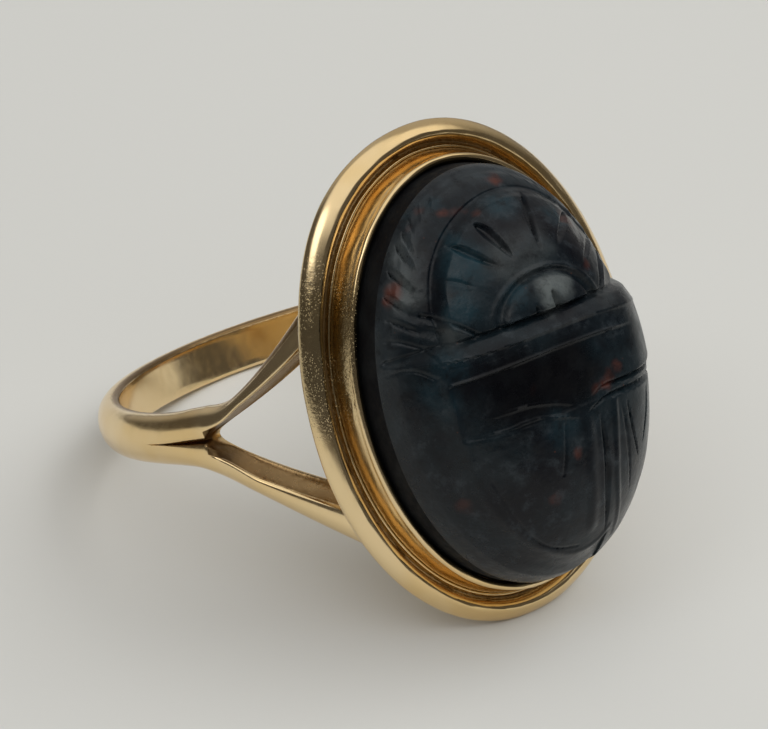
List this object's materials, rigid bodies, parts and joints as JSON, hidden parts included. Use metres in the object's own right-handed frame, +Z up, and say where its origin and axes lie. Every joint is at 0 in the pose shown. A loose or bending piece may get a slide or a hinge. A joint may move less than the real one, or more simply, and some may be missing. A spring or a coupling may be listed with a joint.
{
  "type": "scarab ring",
  "caption": "Gold finger ring with split fluted shoulders and an oval stepped setting that holds a carved bloodstone scarab.",
  "frame": {"origin": "on the surface that the ring lies on, under the middle of its bounding box", "axes": "+Z up from that surface; +Y from the stone towards the back of the band; +X to the wearer's right, seen from the stone's side. The ring lies on the tail end of the setting and on the back of the band, and the scarab's head is up"},
  "size_m": [0.0192, 0.0238, 0.0166],
  "materials": {
    "shank_gold": "polished yellow gold, rubbed by wear",
    "bezel_gold": "polished yellow gold with small wear pits",
    "bloodstone": "waxy polish, dark blue-green with rusty red specks"
  },
  "bodies": {
    "root": {"shank": "shank_gold", "bezel": "bezel_gold", "scarab": "bloodstone"}
  },
  "joints": []
}
